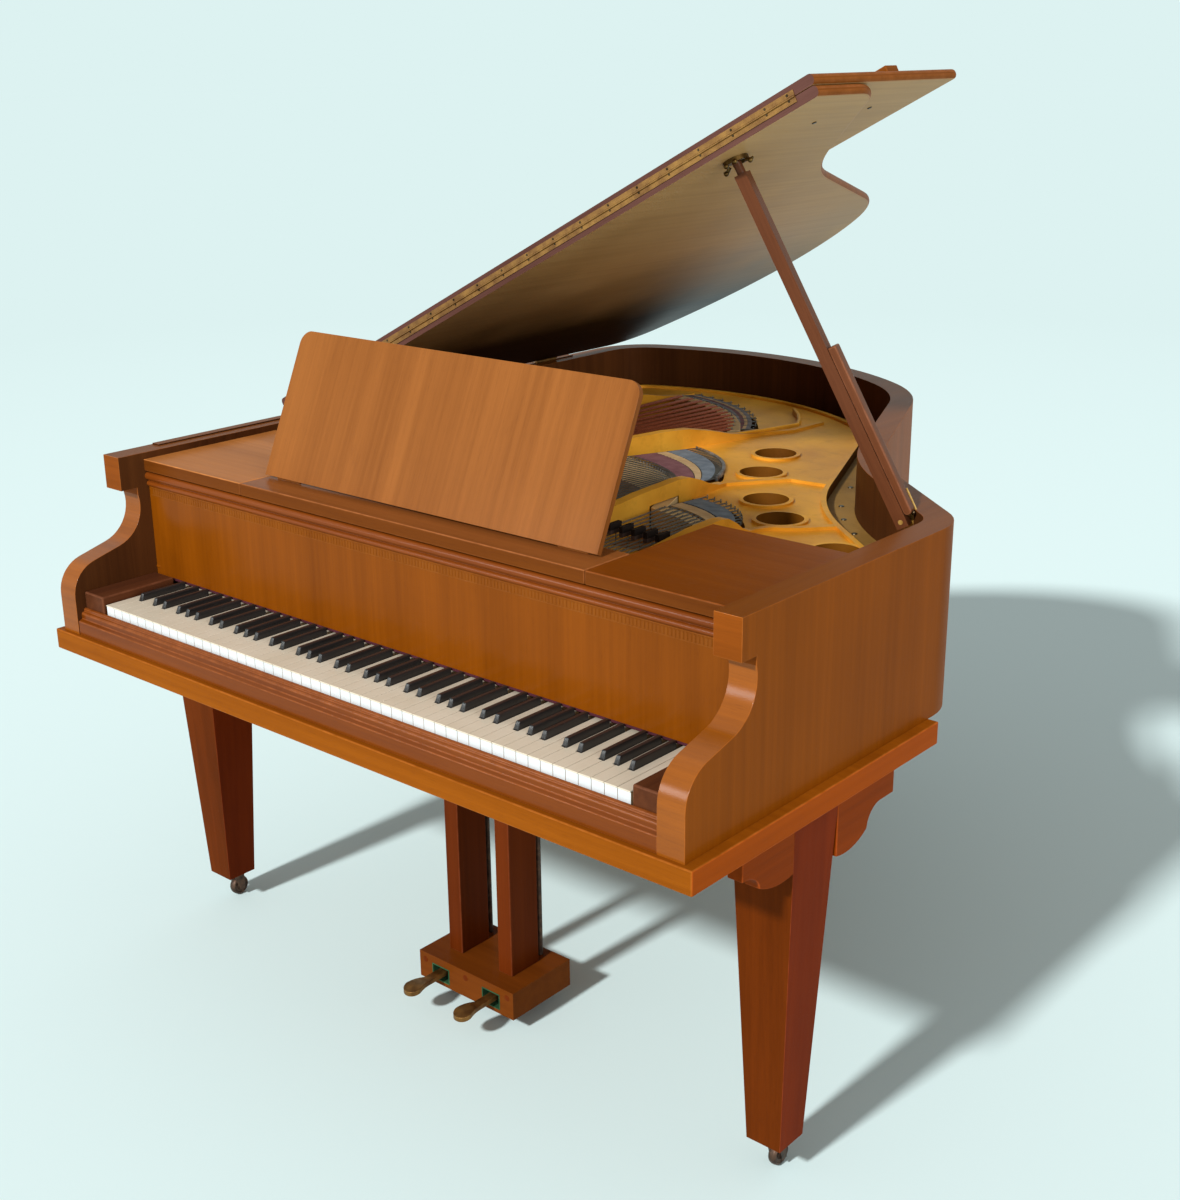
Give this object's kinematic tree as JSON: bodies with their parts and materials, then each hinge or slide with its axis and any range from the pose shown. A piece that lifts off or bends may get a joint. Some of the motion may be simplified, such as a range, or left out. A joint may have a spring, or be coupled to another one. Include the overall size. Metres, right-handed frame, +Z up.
{
  "type": "grand piano",
  "caption": "Walnut grand piano with lid propped open and front flap folded back, raised music desk, cast plate and strings, keyboard, pedal lyre and square tapered legs on casters.",
  "frame": {"origin": "on the floor, under the middle of the piano's overall width and length", "axes": "+X to the treble side (the player's right), +Y from the keyboard to the tail, +Z up"},
  "size_m": [1.48, 1.7272, 1.6436],
  "materials": {
    "walnut": "satin lacquered veneer",
    "dark_walnut": "dark lacquered wood",
    "structure_wood": "bare structural wood",
    "spruce": "varnished spruce",
    "ivory": "smooth white key tops",
    "ebony": "polished black",
    "gold_plate": "bronze lacquer",
    "brass": "aged brass",
    "steel": "drawn steel",
    "felt": "felt and wood",
    "caster_metal": "worn dark metal"
  },
  "bodies": {
    "case": {"rim": "walnut", "inner_rim": "structure_wood", "keybed": "walnut", "belly_rail": "structure_wood", "back_beams": "structure_wood", "key_slip": "walnut", "key_blocks": "dark_walnut", "bass_shelf": "walnut", "treble_shelf": "walnut", "spine_hinge_rim_leaves": "brass", "prop_bracket": "brass", "plate": "gold_plate", "pinblock": "structure_wood", "soundboard": "spruce", "bridges": "spruce", "strings": "steel", "tuning_pins": "steel", "leg_bass": "walnut", "leg_treble": "walnut", "leg_rear": "walnut", "leg_brackets": "walnut", "lyre_box": "walnut", "lyre_posts": "walnut", "lyre_braces": "dark_walnut"},
    "lid": {"lid_main": "walnut", "flap_hinge_lid_leaf": "brass", "spine_hinge_lid_leaves": "brass", "prop_cup": "brass"},
    "flap": {"lid_flap": "walnut", "flap_hinge_flap_leaf": "brass"},
    "prop": {"prop_stick": "dark_walnut"},
    "half_prop": {"prop_half_stick": "dark_walnut"},
    "fallboard": {"fallboard": "walnut"},
    "ledge": {"desk_ledge": "walnut"},
    "desk": {"desk_panel": "walnut"},
    "stay": {"desk_stay": "dark_walnut"},
    "action": {"keyframe": "structure_wood"},
    "damper_rail": {"dampers": "felt"},
    "pedal_soft": {"pedal_soft": "brass"},
    "pedal_sustain": {"pedal_sustain": "brass"},
    "rod_soft": {"pedal_rod_soft": "steel"},
    "rod_sustain": {"pedal_rod_sustain": "steel"},
    "keys_c": {"keys_c": "ivory"},
    "keys_d": {"keys_d": "ivory"},
    "keys_e": {"keys_e": "ivory"},
    "keys_f": {"keys_f": "ivory"},
    "keys_g": {"keys_g": "ivory"},
    "keys_a": {"keys_a": "ivory"},
    "keys_b": {"keys_b": "ivory"},
    "keys_c_sharp": {"keys_c_sharp": "ebony"},
    "keys_d_sharp": {"keys_d_sharp": "ebony"},
    "keys_f_sharp": {"keys_f_sharp": "ebony"},
    "keys_g_sharp": {"keys_g_sharp": "ebony"},
    "keys_a_sharp": {"keys_a_sharp": "ebony"},
    "swivel_bass": {"caster_fork_bass": "caster_metal"},
    "wheel_bass": {"caster_wheel_bass": "caster_metal"},
    "swivel_treble": {"caster_fork_treble": "caster_metal"},
    "wheel_treble": {"caster_wheel_treble": "caster_metal"},
    "swivel_rear": {"caster_fork_rear": "caster_metal"},
    "wheel_rear": {"caster_wheel_rear": "caster_metal"}
  },
  "joints": [
    {"name": "lid_hinge", "type": "hinge", "parent": "case", "child": "lid", "pos_m": [-0.70196, 0, 0.9762], "axis": [0, -1, 0], "range_deg": [0, 45]},
    {"name": "flap_hinge", "type": "hinge", "parent": "lid", "child": "flap", "pos_m": [-0.70976, -0.32709, 0.99164], "axis": [0.8926, 0, 0.4509], "range_deg": [0, 150]},
    {"name": "prop_swing", "type": "hinge", "parent": "case", "child": "prop", "pos_m": [0.61846, -0.15791, 0.956], "axis": [0.2798, -0.9593, -0.0392], "range_deg": [0, 62.85]},
    {"name": "half_prop_swing", "type": "hinge", "parent": "prop", "child": "half_prop", "pos_m": [0.62775, -0.15599, 0.97545], "axis": [0.2798, -0.9593, -0.0392], "range_deg": [-30, 0]},
    {"name": "fallboard_hinge", "type": "hinge", "parent": "case", "child": "fallboard", "pos_m": [0, -0.67359, 0.752], "axis": [1, 0, 0], "range_deg": [0, 88]},
    {"name": "ledge_slide", "type": "slide", "parent": "case", "child": "ledge", "axis": [0, 1, 0], "range_m": [-0.06, 0]},
    {"name": "desk_tilt", "type": "hinge", "parent": "ledge", "child": "desk", "pos_m": [0, -0.62159, 0.9635], "axis": [-1, 0, 0], "range_deg": [0, 66]},
    {"name": "stay_fold", "type": "hinge", "parent": "desk", "child": "stay", "pos_m": [0, -0.58411, 1.05628], "axis": [1, 0, 0], "range_deg": [0, 116]},
    {"name": "action_shift", "type": "slide", "parent": "case", "child": "action", "axis": [1, 0, 0], "range_m": [0, 0.003]},
    {"name": "press_c", "type": "hinge", "parent": "action", "child": "keys_c", "pos_m": [0, -0.61359, 0.7017], "axis": [1, 0, 0], "range_deg": [0, 2.6], "stiffness_Nm_per_rad": 6, "springref_deg": -8.59},
    {"name": "press_d", "type": "hinge", "parent": "action", "child": "keys_d", "pos_m": [0, -0.61359, 0.7017], "axis": [1, 0, 0], "range_deg": [0, 2.6], "stiffness_Nm_per_rad": 6, "springref_deg": -8.59},
    {"name": "press_e", "type": "hinge", "parent": "action", "child": "keys_e", "pos_m": [0, -0.61359, 0.7017], "axis": [1, 0, 0], "range_deg": [0, 2.6], "stiffness_Nm_per_rad": 6, "springref_deg": -8.59},
    {"name": "press_f", "type": "hinge", "parent": "action", "child": "keys_f", "pos_m": [0, -0.61359, 0.7017], "axis": [1, 0, 0], "range_deg": [0, 2.6], "stiffness_Nm_per_rad": 6, "springref_deg": -8.59},
    {"name": "press_g", "type": "hinge", "parent": "action", "child": "keys_g", "pos_m": [0, -0.61359, 0.7017], "axis": [1, 0, 0], "range_deg": [0, 2.6], "stiffness_Nm_per_rad": 6, "springref_deg": -8.59},
    {"name": "press_a", "type": "hinge", "parent": "action", "child": "keys_a", "pos_m": [0, -0.61359, 0.7017], "axis": [1, 0, 0], "range_deg": [0, 2.6], "stiffness_Nm_per_rad": 6, "springref_deg": -8.59},
    {"name": "press_b", "type": "hinge", "parent": "action", "child": "keys_b", "pos_m": [0, -0.61359, 0.7017], "axis": [1, 0, 0], "range_deg": [0, 2.6], "stiffness_Nm_per_rad": 6, "springref_deg": -8.59},
    {"name": "press_c_sharp", "type": "hinge", "parent": "action", "child": "keys_c_sharp", "pos_m": [0, -0.61359, 0.7017], "axis": [1, 0, 0], "range_deg": [0, 2.6], "stiffness_Nm_per_rad": 6, "springref_deg": -8.59},
    {"name": "press_d_sharp", "type": "hinge", "parent": "action", "child": "keys_d_sharp", "pos_m": [0, -0.61359, 0.7017], "axis": [1, 0, 0], "range_deg": [0, 2.6], "stiffness_Nm_per_rad": 6, "springref_deg": -8.59},
    {"name": "press_f_sharp", "type": "hinge", "parent": "action", "child": "keys_f_sharp", "pos_m": [0, -0.61359, 0.7017], "axis": [1, 0, 0], "range_deg": [0, 2.6], "stiffness_Nm_per_rad": 6, "springref_deg": -8.59},
    {"name": "press_g_sharp", "type": "hinge", "parent": "action", "child": "keys_g_sharp", "pos_m": [0, -0.61359, 0.7017], "axis": [1, 0, 0], "range_deg": [0, 2.6], "stiffness_Nm_per_rad": 6, "springref_deg": -8.59},
    {"name": "press_a_sharp", "type": "hinge", "parent": "action", "child": "keys_a_sharp", "pos_m": [0, -0.61359, 0.7017], "axis": [1, 0, 0], "range_deg": [0, 2.6], "stiffness_Nm_per_rad": 6, "springref_deg": -8.59},
    {"name": "damper_lift", "type": "slide", "parent": "case", "child": "damper_rail", "axis": [0, 0, 1], "range_m": [0, 0.008]},
    {"name": "press_pedal_soft", "type": "hinge", "parent": "case", "child": "pedal_soft", "pos_m": [-0.064, -0.46559, 0.0541], "axis": [1, 0, 0], "range_deg": [0, 3.7], "stiffness_Nm_per_rad": 40, "springref_deg": -3.44},
    {"name": "lift_rod_soft", "type": "slide", "parent": "case", "child": "rod_soft", "axis": [0, 0, 1], "range_m": [0, 0.003]},
    {"name": "press_pedal_sustain", "type": "hinge", "parent": "case", "child": "pedal_sustain", "pos_m": [0.064, -0.46559, 0.0541], "axis": [1, 0, 0], "range_deg": [0, 3.7], "stiffness_Nm_per_rad": 40, "springref_deg": -3.44},
    {"name": "lift_rod_sustain", "type": "slide", "parent": "case", "child": "rod_sustain", "axis": [0, 0, 1], "range_m": [0, 0.003]},
    {"name": "swivel_bass", "type": "hinge", "parent": "case", "child": "swivel_bass", "pos_m": [-0.68096, -0.56359, 0.058], "axis": [0, 0, 1], "continuous": true},
    {"name": "roll_bass", "type": "hinge", "parent": "swivel_bass", "child": "wheel_bass", "pos_m": [-0.68096, -0.55159, 0.02], "axis": [1, 0, 0], "continuous": true},
    {"name": "swivel_treble", "type": "hinge", "parent": "case", "child": "swivel_treble", "pos_m": [0.68096, -0.56359, 0.058], "axis": [0, 0, 1], "continuous": true},
    {"name": "roll_treble", "type": "hinge", "parent": "swivel_treble", "child": "wheel_treble", "pos_m": [0.68096, -0.55159, 0.02], "axis": [1, 0, 0], "continuous": true},
    {"name": "swivel_rear", "type": "hinge", "parent": "case", "child": "swivel_rear", "pos_m": [-0.27, 0.53641, 0.058], "axis": [0, 0, 1], "continuous": true},
    {"name": "roll_rear", "type": "hinge", "parent": "swivel_rear", "child": "wheel_rear", "pos_m": [-0.27, 0.54841, 0.02], "axis": [1, 0, 0], "continuous": true}
  ],
  "couplings": [
    {"joint": "stay_fold", "follows": "desk_tilt", "ratio": 1.7576},
    {"joint": "action_shift", "follows": "press_pedal_soft", "m_per_rad": 0.044908},
    {"joint": "damper_lift", "follows": "press_pedal_sustain", "m_per_rad": 0.12233},
    {"joint": "lift_rod_soft", "follows": "press_pedal_soft", "m_per_rad": 0.043},
    {"joint": "lift_rod_sustain", "follows": "press_pedal_sustain", "m_per_rad": 0.043}
  ]
}
